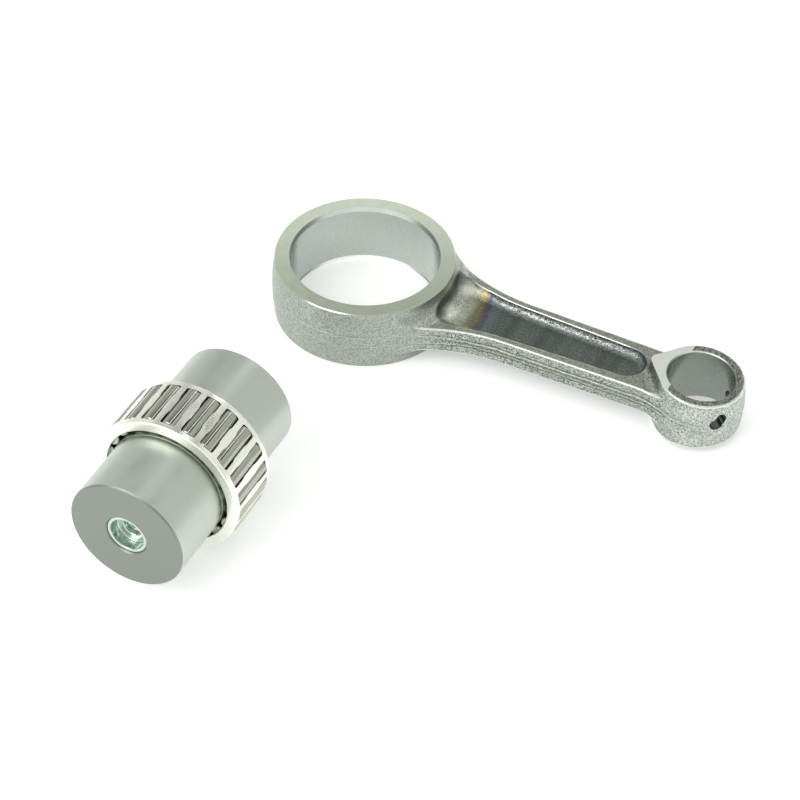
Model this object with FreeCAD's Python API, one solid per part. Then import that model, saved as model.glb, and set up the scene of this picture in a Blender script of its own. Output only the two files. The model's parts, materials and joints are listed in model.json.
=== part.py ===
"""Connecting rod kit for a single-cylinder four-stroke engine, laid out flat.

One forged rod lies on the ground plane with its big-end bore on the Z axis.
Beside it lies the crank pin, with its caged needle roller bearing and two
pressed oil plugs.  Millimetres, +Z up, rod along +X, crank pin along +Y.
"""
import FreeCAD
import Part

import math
import os

# Rod, driving dimensions
CENTRES = 110.0
BIG_BORE_R = 22.5
BIG_FACE_R = 27.5
BIG_WIDTH = 20.5
LEAD_RISE = 0.45
LEAD_DEPTH = 1.5
SMALL_BORE_R = 10.0
SMALL_FACE_R = 12.75
SMALL_CHAMFER = 0.35
SMALL_FLAT = 18.4
SMALL_CROWN = 17.4
SMALL_FALL = 0.08
NOSE_X = 96.4
NOSE_R = 2.2
FACE_EDGE = 0.3
MID = BIG_WIDTH / 2
DRAFT = math.tan(math.radians(6.0))

# Shank, an I section with a pocket in each side
RIB_TOP = 4.3
BAND = 1.2
WAIST = 9.75
WAIST_SMALL = 9.2
FLARE_BIG_R = 55.0
FLARE_SMALL_R = 25.0
RIB_BIG = 2.2
POCKET_DEPTH = 2.7
POCKET_WALL_R = 28.2
POCKET_CORNER = 3.5
POCKET_FULL_CORNER = 7.0
POCKET_END_X = 86.4
POCKET_END_R = 6.2
POCKET_FLOOR_R = 2.3
FILLET_BIG = 4.5
FILLET_SMALL = 2.6

# Oil drillings at the small end, two overlapping holes on each side (angle from the tip, rise)
OIL_R = 2.05
OIL_HOLES = ((-41.7, 2.75), (-46.3, 1.45), (41.7, -4.2), (46.3, -2.9))

# Crank pin
PIN_CENTRE = FreeCAD.Vector(-2.3, -105.4, 22.5)
PIN_R = 17.5
PIN_HALF = 31.0
PIN_CHAMFER = 0.5
GALLERY_R = 4.0
PLUG_BORE_DEPTH = 9.0
PLUG_LEAD = 0.4
FEED_R = 1.5
INLET_OFFSET = 16.0
RACE_END = 8.8
SEAT_START = 9.45
RELIEF_DEPTH = 0.25

# Pressed plugs, turned cups
PLUG_R = 6.2
PLUG_LENGTH = 7.0
PLUG_SET_BACK = 0.5
PLUG_EDGE = 0.25
CUP_R = 5.1
CUP_DEPTH = 3.4
RECESS_R = 2.9
RECESS_DEPTH = 5.2
RECESS_EDGE = 0.4
DRILL_POINT = 0.5

# Caged needle roller bearing
ROLLERS = 22
PITCH_R = 20.0
ROLLER_R = 2.48
ROLLER_HALF = 7.5
ROLLER_EDGE = 0.3
CAGE_IN_R = 19.0
CAGE_OUT_R = 22.2
CAGE_HALF = 9.4
CAGE_EDGE = 0.3
WINDOW_R = 2.56
WINDOW_HALF = 7.65
MOUTH_WIDE = 4.5
MOUTH_NARROW = 3.9
LIP_HALF = 3.0

# How far a cutter stands past a surface, and how far joined pieces overlap
CLEAR = 8.0
OVERLAP = 3.0
HAIR = 0.02

V = FreeCAD.Vector
UP = V(0, 0, 1)
ALONG = V(0, 1, 0)


def turned(profile, centre_x):
    """Turn a list of (radius, height) points around a vertical axis."""
    points = [V(centre_x + r, 0, z) for r, z in profile]
    wire = Part.makePolygon(points + [points[0]])
    return Part.Face(wire).revolve(V(centre_x, 0, 0), UP, 360)


def pin_turned(profile):
    """Turn a list of (radius, distance along the pin) points around the pin axis."""
    points = [PIN_CENTRE + V(r, y, 0) for r, y in profile]
    wire = Part.makePolygon(points + [points[0]])
    return Part.Face(wire).revolve(PIN_CENTRE, ALONG, 360)


def prism(wire, height):
    """Solid standing on a horizontal wire."""
    return Part.Face(wire).extrude(V(0, 0, height))


def under(p):
    """The same point on the other side of the rod's long axis."""
    return V(p.x, -p.y, p.z)


def mid_arc(centre, start, end, radius):
    """Arc between two points, bulging away from its centre."""
    middle = centre + ((start + end) * 0.5 - centre).normalize() * radius
    return Part.Arc(start, middle, end).toShape()


def flare_centre(hub_r, flare_r, waist):
    """Distance along the rod to the centre of a flare that touches hub and waist."""
    return math.sqrt((hub_r + flare_r) ** 2 - (waist + flare_r) ** 2)


def hub_radius(grow):
    """Big-end radius at rib-top height, grown outwards by grow."""
    return BIG_FACE_R + (BIG_WIDTH / 2 - RIB_TOP) * DRAFT + grow


def eye_radius(grow):
    """Small-end radius at rib-top height, grown outwards by grow."""
    return SMALL_FACE_R + (SMALL_FLAT / 2 - RIB_TOP) * DRAFT + grow


def big_flare():
    """Centre of the flare between the big end and the shank."""
    return V(flare_centre(hub_radius(0), FLARE_BIG_R, WAIST), WAIST + FLARE_BIG_R, 0)


def small_flare():
    """Centre of the flare between the small end and the shank."""
    reach = flare_centre(eye_radius(0), FLARE_SMALL_R, WAIST_SMALL)
    return V(CENTRES - reach, WAIST_SMALL + FLARE_SMALL_R, 0)


def rod_outline(grow, z):
    """Closed outline of the rod at height z: hub, two flared sides, eye."""
    lift = V(0, 0, z)
    hub_r = hub_radius(grow)
    eye_r = eye_radius(grow)
    big_r = FLARE_BIG_R - grow
    small_r = FLARE_SMALL_R - grow
    eye = V(CENTRES, 0, 0)
    big = big_flare()
    small = small_flare()
    step = small - big
    turn = math.atan2(step.y, step.x) - math.acos((big_r - small_r) / step.Length)
    normal = V(math.cos(turn), math.sin(turn), 0)
    hub_touch = big * (hub_r / big.Length) + lift
    eye_touch = eye + (small - eye) * (eye_r / (small - eye).Length) + lift
    big_touch = big + normal * big_r + lift
    small_touch = small + normal * small_r + lift
    edges = [
        mid_arc(big + lift, hub_touch, big_touch, big_r),
        Part.makeLine(big_touch, small_touch),
        mid_arc(small + lift, small_touch, eye_touch, small_r),
        Part.Arc(eye_touch, V(CENTRES + eye_r, 0, z), under(eye_touch)).toShape(),
        mid_arc(under(small) + lift, under(eye_touch), under(small_touch), small_r),
        Part.makeLine(under(small_touch), under(big_touch)),
        mid_arc(under(big) + lift, under(big_touch), under(hub_touch), big_r),
        Part.Arc(under(hub_touch), V(-hub_r, 0, z), hub_touch).toShape(),
    ]
    return Part.Wire(edges)


def forging_half():
    """Upper half of the flat forging, from the parting plane to the rib tops."""
    grow = (RIB_TOP - BAND) * DRAFT
    band = prism(rod_outline(grow, MID), BAND)
    sides = [rod_outline(grow, MID + BAND), rod_outline(0, MID + RIB_TOP)]
    return band.fuse(Part.makeLoft(sides, True, True))


def hub_half():
    """Big-end boss above the rib tops, up to the ground face."""
    inner = BIG_BORE_R - CLEAR
    profile = [
        (inner, MID + RIB_TOP),
        (hub_radius(0), MID + RIB_TOP),
        (BIG_FACE_R + FACE_EDGE * DRAFT, BIG_WIDTH - FACE_EDGE),
        (BIG_FACE_R - FACE_EDGE, BIG_WIDTH),
        (inner, BIG_WIDTH),
    ]
    return turned(profile, 0)


def teardrop(grow, z):
    """Small-end boss outline: a circle with a short nose towards the shank."""
    eye_r = SMALL_FACE_R + grow
    nose_r = NOSE_R + grow
    turn = math.pi - math.acos((eye_r - nose_r) / (CENTRES - NOSE_X))
    out = V(math.cos(turn), math.sin(turn), 0)
    side = V(CENTRES, 0, z) + out * eye_r
    tip = V(NOSE_X, 0, z) + out * nose_r
    edges = [
        Part.Arc(side, V(CENTRES + eye_r, 0, z), under(side)).toShape(),
        Part.makeLine(under(side), under(tip)),
        Part.Arc(under(tip), V(NOSE_X - nose_r, 0, z), tip).toShape(),
        Part.makeLine(tip, side),
    ]
    return Part.Wire(edges)


def eye_half():
    """Small-end boss above the rib tops: a ground flat, and a forged face that falls away."""
    grow = (SMALL_FLAT / 2 - RIB_TOP) * DRAFT
    boss = Part.makeLoft([teardrop(grow, MID + RIB_TOP), teardrop(0, MID + SMALL_FLAT / 2)], True, True)
    reach = 5 * CLEAR
    top = MID + SMALL_CROWN / 2
    points = [
        V(CENTRES - reach, -reach, top + reach * SMALL_FALL),
        V(CENTRES + reach, -reach, top - reach * SMALL_FALL),
        V(CENTRES + reach, -reach, top + reach),
        V(CENTRES - reach, -reach, top + reach),
    ]
    above = Part.Face(Part.makePolygon(points + [points[0]])).extrude(ALONG * (2 * reach))
    return boss.cut(above)


def flare(centre_x, wall_r, radius):
    """Concave fillet between a boss wall and the rib tops, kept inside the outline."""
    floor = MID + RIB_TOP
    start = V(centre_x + wall_r + radius, 0, floor)
    end = V(centre_x + wall_r, 0, floor + radius)
    inner = V(centre_x + wall_r - OVERLAP, 0, floor + radius)
    corner = V(centre_x + wall_r - OVERLAP, 0, floor)
    swing = radius * (1 - math.sqrt(0.5))
    curve = Part.Arc(start, V(centre_x + wall_r + swing, 0, floor + swing), end).toShape()
    edges = [curve, Part.makeLine(end, inner), Part.makeLine(inner, corner), Part.makeLine(corner, start)]
    ring = Part.Face(Part.Wire(edges)).revolve(V(centre_x, 0, 0), UP, 360)
    return ring.common(prism(rod_outline(-HAIR, floor), radius))


def pocket_corner(radius, lift):
    """Centre and touching points of a pocket corner, between the wall by the big end and the +Y side."""
    big = big_flare()
    side_r = FLARE_BIG_R + RIB_BIG
    far = side_r + radius
    near = POCKET_WALL_R + radius
    along = (near ** 2 - far ** 2 + big.Length ** 2) / (2 * big.Length)
    across = math.sqrt(near ** 2 - along ** 2)
    ray = big * (1 / big.Length)
    centre = ray * along + V(ray.y, -ray.x, 0) * across
    wall_touch = centre * (POCKET_WALL_R / near)
    side_touch = centre + (big - centre) * (radius / far)
    return centre + lift, wall_touch + lift, side_touch + lift


def pocket():
    """Cutter for the pocket in one side of the shank; one corner by the big end is fuller than the other."""
    z = MID + RIB_TOP - POCKET_DEPTH
    lift = V(0, 0, z)
    big = big_flare()
    side_r = FLARE_BIG_R + RIB_BIG
    corner, wall_touch, side_touch = pocket_corner(POCKET_CORNER, lift)
    full_corner, full_wall, full_side = [under(p) for p in pocket_corner(POCKET_FULL_CORNER, lift)]
    # Straight side, touching the flared side and the round end
    end = V(POCKET_END_X, 0, 0)
    step = big - end
    turn = math.atan2(step.y, step.x) - math.acos((side_r + POCKET_END_R) / step.Length)
    normal = V(math.cos(turn), math.sin(turn), 0)
    straight = big - normal * side_r + lift
    end_touch = end + normal * POCKET_END_R + lift
    tip = V(POCKET_END_X + POCKET_END_R, 0, z)
    edges = [
        mid_arc(corner, wall_touch, side_touch, POCKET_CORNER),
        mid_arc(big + lift, side_touch, straight, side_r),
        Part.makeLine(straight, end_touch),
        Part.Arc(end_touch, tip, under(end_touch)).toShape(),
        Part.makeLine(under(end_touch), under(straight)),
        mid_arc(under(big) + lift, under(straight), full_side, side_r),
        mid_arc(full_corner, full_side, full_wall, POCKET_FULL_CORNER),
        Part.Arc(full_wall, V(POCKET_WALL_R, 0, z), wall_touch).toShape(),
    ]
    cutter = prism(Part.Wire(edges), POCKET_DEPTH + CLEAR)
    rims = [e for e in cutter.Edges if e.BoundBox.ZMax < z + HAIR]
    return cutter.makeFillet(POCKET_FLOOR_R, rims)


def bore(centre_x, radius, rise, depth, low, high):
    """Cutter for a through bore; each mouth opens by a rise in radius over a depth."""
    mouth = radius + rise * (1 + 1 / depth)
    profile = [
        (0, low - 1),
        (mouth, low - 1),
        (radius, low + depth),
        (radius, high - depth),
        (mouth, high + 1),
        (0, high + 1),
    ]
    return turned(profile, centre_x)


def crown_chamfer():
    """Cutter for the small-end chamfer on the forged face, which falls away to the tip."""
    top = MID + SMALL_CROWN / 2
    cone = Part.makeCone(SMALL_BORE_R - 1, SMALL_BORE_R + SMALL_CHAMFER + 1, SMALL_CHAMFER + 2)
    cone.translate(V(CENTRES, 0, top - SMALL_CHAMFER - 1))
    cone.rotate(V(CENTRES, 0, top), ALONG, math.degrees(math.atan(SMALL_FALL)))
    return cone


def oil_holes():
    """Radial oil drillings into the small-end bore."""
    cutters = []
    for angle, rise in OIL_HOLES:
        a = math.radians(angle)
        out = V(math.cos(a), math.sin(a), 0)
        start = V(CENTRES, 0, MID + rise) + out * (SMALL_BORE_R - OVERLAP)
        cutters.append(Part.makeCylinder(OIL_R, CLEAR + OVERLAP, start, out))
    return cutters


def connecting_rod():
    """One-piece forged rod with ground faces, bores, pockets and oil drillings."""
    half = forging_half()
    half = half.fuse([hub_half(), eye_half()])
    half = half.fuse([flare(0, hub_radius(0), FILLET_BIG), flare(CENTRES, eye_radius(0), FILLET_SMALL)])
    half = half.cut([pocket(), crown_chamfer()])
    other = half.copy()
    other.rotate(V(0, 0, MID), V(1, 0, 0), 180)
    rod = half.fuse(other)
    low = MID - SMALL_FLAT / 2
    rod = rod.cut(bore(0, BIG_BORE_R, LEAD_RISE, LEAD_DEPTH, 0, BIG_WIDTH))
    rod = rod.cut(bore(CENTRES, SMALL_BORE_R, SMALL_CHAMFER, SMALL_CHAMFER, low, BIG_WIDTH - low))
    rod = rod.cut(oil_holes())
    return rod.removeSplitter()


def crank_pin():
    """Ground crank pin, drilled through for oil; relief grooves part the race from the seats."""
    seat = PIN_HALF - PLUG_BORE_DEPTH
    half = [
        (GALLERY_R, seat),
        (PLUG_R, seat),
        (PLUG_R, PIN_HALF - PLUG_LEAD),
        (PLUG_R + PLUG_LEAD, PIN_HALF),
        (PIN_R - PIN_CHAMFER, PIN_HALF),
        (PIN_R, PIN_HALF - PIN_CHAMFER),
        (PIN_R, SEAT_START),
        (PIN_R - RELIEF_DEPTH, SEAT_START),
        (PIN_R - RELIEF_DEPTH, RACE_END),
        (PIN_R, RACE_END),
    ]
    other = [(r, -y) for r, y in reversed(half)]
    pin = pin_turned(half + other)
    feed = Part.makeCylinder(FEED_R, PIN_R + 1, PIN_CENTRE, V(1, 0, 0))
    inlet = Part.makeCylinder(FEED_R, PIN_R + 1, PIN_CENTRE + V(0, INLET_OFFSET, 0), V(-1, 0, 0))
    return pin.cut([feed, inlet])


def pin_plug(side):
    """Pressed plug, a stepped cup; side is -1 at the near end and +1 at the far end."""
    face = PIN_HALF - PLUG_SET_BACK
    profile = [
        (0, face - PLUG_LENGTH),
        (PLUG_R, face - PLUG_LENGTH),
        (PLUG_R, face - PLUG_EDGE),
        (PLUG_R - PLUG_EDGE, face),
        (CUP_R + PLUG_EDGE, face),
        (CUP_R, face - PLUG_EDGE),
        (CUP_R, face - CUP_DEPTH),
        (RECESS_R + RECESS_EDGE, face - CUP_DEPTH),
        (RECESS_R, face - CUP_DEPTH - RECESS_EDGE),
        (RECESS_R, face - RECESS_DEPTH),
        (0, face - RECESS_DEPTH - DRILL_POINT),
    ]
    return pin_turned([(r, side * y) for r, y in profile])


def spin(shape, index):
    """Turn a shape about the pin axis to the given roller position."""
    turned_shape = shape.copy()
    turned_shape.rotate(PIN_CENTRE, ALONG, index * 360.0 / ROLLERS)
    return turned_shape


def roller():
    """Needle roller at the top of the bearing, with broken edges."""
    centre = PIN_CENTRE + V(0, 0, PITCH_R)
    points = [
        centre + V(0, -ROLLER_HALF, 0),
        centre + V(ROLLER_R - ROLLER_EDGE, -ROLLER_HALF, 0),
        centre + V(ROLLER_R, -ROLLER_HALF + ROLLER_EDGE, 0),
        centre + V(ROLLER_R, ROLLER_HALF - ROLLER_EDGE, 0),
        centre + V(ROLLER_R - ROLLER_EDGE, ROLLER_HALF, 0),
        centre + V(0, ROLLER_HALF, 0),
    ]
    wire = Part.makePolygon(points + [points[0]])
    return Part.Face(wire).revolve(centre, ALONG, 360)


def window():
    """Cutter for the top window: a roller-shaped hole with a mouth that narrows mid-way."""
    centre = PIN_CENTRE + V(0, 0, PITCH_R)
    hole = Part.makeCylinder(WINDOW_R, 2 * WINDOW_HALF, centre - ALONG * WINDOW_HALF, ALONG)
    rise = CAGE_OUT_R - PITCH_R + 1
    lip = Part.makeBox(MOUTH_NARROW, 2 * LIP_HALF + 1, rise)
    lip.translate(centre - V(MOUTH_NARROW / 2, LIP_HALF + 0.5, 0))
    length = WINDOW_HALF - LIP_HALF
    ends = []
    for start in (-WINDOW_HALF, LIP_HALF):
        end = Part.makeBox(MOUTH_WIDE, length, rise)
        end.translate(centre + V(-MOUTH_WIDE / 2, start, 0))
        ends.append(end)
    return hole.fuse([lip] + ends)


def bearing_cage():
    """Silver-plated cage: a ring with one window per roller."""
    profile = [
        (CAGE_IN_R, -CAGE_HALF),
        (CAGE_OUT_R - CAGE_EDGE, -CAGE_HALF),
        (CAGE_OUT_R, -CAGE_HALF + CAGE_EDGE),
        (CAGE_OUT_R, CAGE_HALF - CAGE_EDGE),
        (CAGE_OUT_R - CAGE_EDGE, CAGE_HALF),
        (CAGE_IN_R, CAGE_HALF),
    ]
    ring = pin_turned(profile)
    cutter = window()
    return ring.cut([spin(cutter, i) for i in range(ROLLERS)])


def main():
    os.makedirs("parts", exist_ok=True)
    shapes = {
        "connecting_rod": connecting_rod(),
        "crank_pin": crank_pin(),
        "pin_plug_near": pin_plug(-1),
        "pin_plug_far": pin_plug(1),
        "bearing_cage": bearing_cage(),
    }
    first = roller()
    for i in range(ROLLERS):
        shapes["roller_%02d" % (i + 1)] = spin(first, i)
    for name, shape in shapes.items():
        shape.exportStep("parts/" + name + ".step")
        box = shape.BoundBox
        print("%-16s solids %d valid %s volume %9.2f  z %.2f to %.2f"
              % (name, len(shape.Solids), shape.isValid(), shape.Volume, box.ZMin, box.ZMax))


main()
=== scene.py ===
"""Looks for a connecting rod kit: forged rod, crank pin and caged needle rollers."""

import itertools
import json
import math

import bmesh
import bpy
import numpy as np
from mathutils import Matrix, Vector


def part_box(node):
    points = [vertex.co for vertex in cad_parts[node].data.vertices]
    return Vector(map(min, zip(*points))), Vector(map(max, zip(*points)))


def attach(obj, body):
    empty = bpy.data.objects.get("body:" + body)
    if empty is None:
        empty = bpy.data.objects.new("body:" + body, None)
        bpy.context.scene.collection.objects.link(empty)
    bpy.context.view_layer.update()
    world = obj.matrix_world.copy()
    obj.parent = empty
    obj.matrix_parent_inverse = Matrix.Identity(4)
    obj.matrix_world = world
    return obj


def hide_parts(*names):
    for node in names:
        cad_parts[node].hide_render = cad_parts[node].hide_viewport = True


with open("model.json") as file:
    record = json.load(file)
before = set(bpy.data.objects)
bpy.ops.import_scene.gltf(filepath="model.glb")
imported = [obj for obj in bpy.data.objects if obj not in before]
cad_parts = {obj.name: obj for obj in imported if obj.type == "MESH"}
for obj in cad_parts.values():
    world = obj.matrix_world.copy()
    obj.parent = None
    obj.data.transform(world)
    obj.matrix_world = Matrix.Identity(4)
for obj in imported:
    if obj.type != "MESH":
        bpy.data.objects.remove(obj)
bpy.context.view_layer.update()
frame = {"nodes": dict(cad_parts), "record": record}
MM = 0.001


# ---------------------------------------------------------------- places from the frame
def mount_named(name):
    """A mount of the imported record."""
    return next(m for m in frame["record"]["mounts"] if m["name"] == name)


def node_box(name):
    """Lowest and highest corner of a CAD node, in millimetres."""
    return tuple(np.array(corner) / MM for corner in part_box(name))


rod_low, rod_high = node_box("connecting_rod")
pin_low, pin_high = node_box("crank_pin")
cage_low, cage_high = node_box("bearing_cage")
plug_low, plug_high = node_box("pin_plug_near")
first_low, first_high = node_box("roller_01")
PIN_CENTRE = (pin_low + pin_high) / 2
PIN_R = (pin_high[2] - pin_low[2]) / 2
PIN_HALF = (pin_high[1] - pin_low[1]) / 2
CAGE_R = (cage_high[2] - cage_low[2]) / 2
CAGE_HALF = (cage_high[1] - cage_low[1]) / 2
PLUG_R = (plug_high[2] - plug_low[2]) / 2
PLUG_FACE = PIN_CENTRE[1] - plug_low[1]
PLUG_LENGTH = plug_high[1] - plug_low[1]
ROLLER_GAP = 0.004
ROLLER_R = (first_high[0] - first_low[0]) / 2 - ROLLER_GAP
ROLLER_HALF = (first_high[1] - first_low[1]) / 2
ROLLER_EDGE = 0.45
PITCH_R = (first_low[2] + first_high[2]) / 2 - PIN_CENTRE[2]
ROLLER_NODES = sorted(n for n in frame["nodes"] if n.startswith("roller_"))
MID = rod_high[2] / 2
BIG_BORE_R = mount_named("big_end_bore")["dims"]["r_mm"]
SMALL_BORE_R = mount_named("small_end_bore")["dims"]["r_mm"]
CENTRES = mount_named("small_end_bore")["pos_m"][0] / MM

# Rod, millimetres, the same as in the CAD part
BIG_FACE_R = 27.5
LEAD_RISE = 0.45
LEAD_DEPTH = 1.5
FACE_EDGE = 0.3
SMALL_FACE_R = 12.75
SMALL_CHAMFER = 0.35
FLAT_TOP = 9.2
CROWN_TOP = 8.7
CROWN_FALL = 0.08
NOSE_X = 96.4
NOSE_R = 2.2
DRAFT = math.tan(math.radians(6.0))
RIB_TOP = 4.3
WAIST = 9.75
WAIST_SMALL = 9.2
FLARE_BIG_R = 55.0
FLARE_SMALL_R = 25.0
RIB_BIG = 2.2
POCKET_DEPTH = 2.7
POCKET_WALL_R = 28.2
POCKET_CORNER = 3.5
POCKET_END_X = 86.4
POCKET_END_R = 6.2
POCKET_FLOOR_R = 2.3
FILLET_BIG = 4.5
FILLET_SMALL = 2.6
OIL_R = 2.05
# Each oil drilling: its angle from the rod's axis in degrees, and its height above the middle
OIL_HOLES = ((-41.7, 2.75), (-46.3, 1.45), (41.7, -4.2), (46.3, -2.9))

# Forging details that the CAD part leaves out or makes simpler; a pair is where something fades
POCKET_START_X = 20.0
POCKET_FULL_CORNER = 6.2
BAND_HALF = 0.8
BAND_HUB = 1.75
BAND_PROUD = 0.08
SEAM_PROUD = 0.14
SEAM_WIDTH = 0.16
FLASH_AT_HUB = (-1.0, 14.0)
FLASH_START_X = (-22.0, -6.0)
FLASH_END_X = (110.0, 122.0)
GROOVE_END_X = (98.0, 106.0)
GROOVE_OUT = 0.5
GROOVE_DEPTH = 0.06
BOWL_ROUND = 0.5
BOWL_END_X = (33.0, 41.0)
BOWL_TURN = 6.0
CORNER_BLEND = 1.66
BOWL_FLOOR_R = 4.5
POCKET_DRAFT = 0.2
SIDE_DRAFT = 0.03
UNEVEN = 0.04
STOCK = 0.3
EDGE_ROUND = 0.45
RIM_ROUND = 0.3
EYE_ROUND = 0.4
ROD_CELL = np.array([0.3, 0.3, 0.15])


# ---------------------------------------------------------------- mesh helpers
def new_object(name, points, faces):
    """A mesh object from points in millimetres."""
    mesh = bpy.data.meshes.new(name)
    points = np.asarray(points, float) * MM
    mesh.vertices.add(len(points))
    mesh.vertices.foreach_set("co", points.ravel())
    sizes = np.array([len(f) for f in faces])
    mesh.loops.add(int(sizes.sum()))
    mesh.loops.foreach_set("vertex_index", np.fromiter(itertools.chain.from_iterable(faces), int))
    mesh.polygons.add(len(sizes))
    mesh.polygons.foreach_set("loop_start", np.cumsum(sizes) - sizes)
    mesh.update(calc_edges=True)
    made = bpy.data.objects.new(name, mesh)
    bpy.context.scene.collection.objects.link(made)
    return made


def closed(obj, smooth_angle=35.0):
    """Merge doubled points, point the faces outwards and shade smooth up to an angle."""
    shape = bmesh.new()
    shape.from_mesh(obj.data)
    bmesh.ops.remove_doubles(shape, verts=shape.verts, dist=1e-7)
    bmesh.ops.recalc_face_normals(shape, faces=shape.faces)
    shape.to_mesh(obj.data)
    shape.free()
    obj.data.shade_smooth()
    obj.data.set_sharp_from_angle(angle=math.radians(smooth_angle))
    return obj


def lathe(name, profile, origin, axis, steps):
    """Turn (radius, distance along the axis) points about an axis through origin."""
    axis = np.array(axis, float)
    side = np.cross(axis, [0.6, 0.0, 0.8])
    side /= np.linalg.norm(side)
    angles = np.arange(steps) * 2 * math.pi / steps
    spokes = np.outer(np.cos(angles), side) + np.outer(np.sin(angles), np.cross(axis, side))
    points = np.concatenate([origin + along * axis + radius * spokes for radius, along in profile])
    count = len(profile)
    faces = []
    for ring in range(count):
        low = ring * steps
        high = (ring + 1) % count * steps
        for i in range(steps):
            j = (i + 1) % steps
            faces.append((low + i, low + j, high + j, high + i))
    return closed(new_object(name, points, faces))


def prism(name, outline, along, across, out, low, high, centre):
    """A straight-sided solid: an outline in the (across, along) plane, between two distances out."""
    flat = [centre + u * across + v * along for u, v in outline]
    points = [p + low * out for p in flat] + [p + high * out for p in flat]
    count = len(outline)
    faces = [tuple(range(count)), tuple(range(2 * count - 1, count - 1, -1))]
    for i in range(count):
        j = (i + 1) % count
        faces.append((i, j, count + j, count + i))
    return closed(new_object(name, points, faces))


def joined(name, objects):
    """One object from several, which are removed."""
    shape = bmesh.new()
    for obj in objects:
        shape.from_mesh(obj.data)
        bpy.data.objects.remove(obj)
    mesh = bpy.data.meshes.new(name)
    shape.to_mesh(mesh)
    shape.free()
    made = bpy.data.objects.new(name, mesh)
    bpy.context.scene.collection.objects.link(made)
    return made


def cut(target, tools, smooth_angle=35.0):
    """Subtract closed tools from a mesh object, and remove the tools."""
    for tool in tools:
        step = target.modifiers.new("cut", "BOOLEAN")
        step.operation = "DIFFERENCE"
        step.solver = "MANIFOLD"
        step.object = tool
    view = bpy.context.evaluated_depsgraph_get()
    target.data = bpy.data.meshes.new_from_object(target.evaluated_get(view))
    target.modifiers.clear()
    for tool in tools:
        bpy.data.objects.remove(tool)
    target.data.shade_smooth()
    target.data.set_sharp_from_angle(angle=math.radians(smooth_angle))
    return target


def rounded(corners, steps=6):
    """A profile from (radius, along, corner radius) points, with the corners rounded."""
    points = []
    count = len(corners)
    for i, (r, y, size) in enumerate(corners):
        here = np.array([r, y])
        if size <= 0:
            points.append((r, y))
            continue
        before = np.array(corners[i - 1][:2]) - here
        after = np.array(corners[(i + 1) % count][:2]) - here
        before /= np.hypot(*before)
        after /= np.hypot(*after)
        half = math.acos(np.clip(before @ after, -1, 1)) / 2
        reach = size / math.tan(half)
        middle = before + after
        centre = here + middle / np.hypot(*middle) * size / math.sin(half)
        start = here + before * reach - centre
        end = here + after * reach - centre
        for t in np.linspace(0, 1, steps):
            spoke = start * (1 - t) + end * t
            points.append(tuple(centre + spoke / np.hypot(*spoke) * size))
    return points


# ---------------------------------------------------------------- the forging as a distance field
def smooth_max(a, b, k):
    """The larger of two distances, with a rounded corner of size k between them."""
    h = np.maximum(k - np.abs(a - b), 0.0) / k
    return np.maximum(a, b) + h * h * k * 0.25


def round_cut(a, b, r):
    """Inside both a and b, with their shared edge rounded to radius r."""
    return np.minimum(np.maximum(a, b), -r) + np.hypot(np.maximum(a + r, 0.0), np.maximum(b + r, 0.0))


def round_join(a, b, r):
    """Inside a or b, with the corner between them filled to radius r."""
    return np.maximum(np.minimum(a, b), r) - np.hypot(np.maximum(r - a, 0.0), np.maximum(r - b, 0.0))


def soft_step(value, low, high):
    """0 below low, 1 above high, smooth between."""
    t = np.clip((value - low) / (high - low), 0.0, 1.0)
    return t * t * (3 - 2 * t)


def flare_reach(end_r, flare_r, waist):
    """Distance along the rod from a round end to the centre of the flare beside it."""
    return math.sqrt((end_r + flare_r) ** 2 - (waist + flare_r) ** 2)


HUB_R = BIG_FACE_R + (MID - RIB_TOP) * DRAFT
EYE_R = SMALL_FACE_R + (FLAT_TOP - RIB_TOP) * DRAFT
EYE = np.array([CENTRES, 0.0])
FLARE_BIG = np.array([flare_reach(HUB_R, FLARE_BIG_R, WAIST), WAIST + FLARE_BIG_R])
FLARE_SMALL = EYE + [-flare_reach(EYE_R, FLARE_SMALL_R, WAIST_SMALL), WAIST_SMALL + FLARE_SMALL_R]


def side_distance(x, y, first, first_r, second, second_r):
    """Distance to a side: a hollow arc, a straight run and a second arc.

    The second arc is hollow too, or round if its radius is negative.
    """
    step = second - first
    turn = math.atan2(step[1], step[0]) - math.acos((first_r - second_r) / math.hypot(*step))
    down = np.array([math.cos(turn), math.sin(turn)])
    run = np.array([-down[1], down[0]])
    start = first + down * first_r
    length = (second + down * second_r - start) @ run
    along = (x - start[0]) * run[0] + (y - start[1]) * run[1]
    straight = -(x - start[0]) * down[0] - (y - start[1]) * down[1]
    on_first = first_r - np.hypot(x - first[0], y - first[1])
    on_second = second_r - math.copysign(1, second_r) * np.hypot(x - second[0], y - second[1])
    return np.where(along < 0, on_first, np.where(along > length, on_second, straight))


def beyond(x, y, origin, through):
    """Distance past the line from origin through a point, growing towards +X."""
    d = (through - origin) / np.hypot(*(through - origin))
    return (x - origin[0]) * d[1] - (y - origin[1]) * d[0]


def boss_distance(x, y):
    """Distance to the small-end boss outline: a circle with a short nose towards the shank."""
    along = CENTRES - x
    length = CENTRES - NOSE_X
    slope = (SMALL_FACE_R - NOSE_R) / length
    cosine = math.sqrt(1 - slope ** 2)
    place = along * cosine - y * slope
    on_eye = np.hypot(along, y) - SMALL_FACE_R
    on_nose = np.hypot(along - length, y) - NOSE_R
    flank = y * cosine + along * slope - SMALL_FACE_R
    return np.where(place < 0, on_eye, np.where(place > cosine * length, on_nose, flank))


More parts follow.
